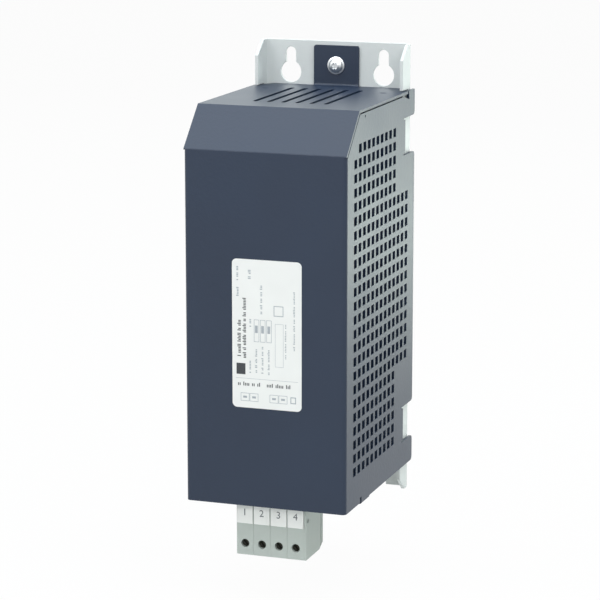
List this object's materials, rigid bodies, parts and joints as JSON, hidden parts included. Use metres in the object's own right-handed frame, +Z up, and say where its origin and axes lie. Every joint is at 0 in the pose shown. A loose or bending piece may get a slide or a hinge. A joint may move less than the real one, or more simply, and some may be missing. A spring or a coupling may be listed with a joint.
{
  "type": "harmonic filter",
  "caption": "Wall-mounted harmonic filter: perforated folded hood with a sloping top over a keyhole chassis, with a choke, capacitors and screw terminals below.",
  "frame": {"origin": "on the wall plane (rear face of the chassis), midway across, level with the lower edge of the hood", "axes": "+X to the right seen from the front, +Y into the wall, +Z up"},
  "size_m": [0.096, 0.1282, 0.2844],
  "materials": {
    "hood_paint": "semi-gloss dark blue-grey powder coat",
    "chassis_paint": "light grey satin paint",
    "zinc_steel": "bright zinc plate",
    "galvanised_sheet": "dull galvanised sheet",
    "label_film": "printed white film",
    "terminal_plastic": "light grey moulding",
    "tag_plastic": "white moulding",
    "capacitor_case": "dark moulded case",
    "resistor_ceramic": "unglazed ceramic",
    "lamination_steel": "varnished stacked sheet",
    "spacer_board": "pressed board",
    "bobbin_plastic": "glass-filled moulding",
    "winding_copper": "enamelled copper wire",
    "lead_copper": "bare copper strip"
  },
  "bodies": {
    "root": {"hood": "hood_paint", "mounting_chassis": "chassis_paint", "hood_screw": "zinc_steel", "rating_label": "label_film", "terminal_bracket": "galvanised_sheet", "terminal_end_plate": "terminal_plastic", "capacitor_left": "capacitor_case", "capacitor_right": "capacitor_case", "capacitor_strap": "galvanised_sheet", "discharge_resistor": "resistor_ceramic", "choke_core": "lamination_steel", "choke_yoke": "lamination_steel", "gap_spacer_left": "spacer_board", "gap_spacer_right": "spacer_board", "core_bracket_lower": "galvanised_sheet", "core_bracket_upper": "galvanised_sheet", "choke_bobbin_left": "bobbin_plastic", "choke_bobbin_right": "bobbin_plastic", "choke_winding_left": "winding_copper", "choke_winding_right": "winding_copper", "lead_coil_left": "lead_copper", "lead_coil_right": "lead_copper", "lead_capacitor_left": "lead_copper", "lead_capacitor_right": "lead_copper", "coil_lead_left": "lead_copper", "coil_lead_right": "lead_copper", "terminal_housing_1": "terminal_plastic", "terminal_screw_1": "zinc_steel", "terminal_clamp_1": "zinc_steel", "marker_tag_1": "tag_plastic", "terminal_housing_2": "terminal_plastic", "terminal_screw_2": "zinc_steel", "terminal_clamp_2": "zinc_steel", "marker_tag_2": "tag_plastic", "terminal_housing_3": "terminal_plastic", "terminal_screw_3": "zinc_steel", "terminal_clamp_3": "zinc_steel", "marker_tag_3": "tag_plastic", "terminal_housing_4": "terminal_plastic", "terminal_screw_4": "zinc_steel", "terminal_clamp_4": "zinc_steel", "marker_tag_4": "tag_plastic"}
  },
  "joints": []
}
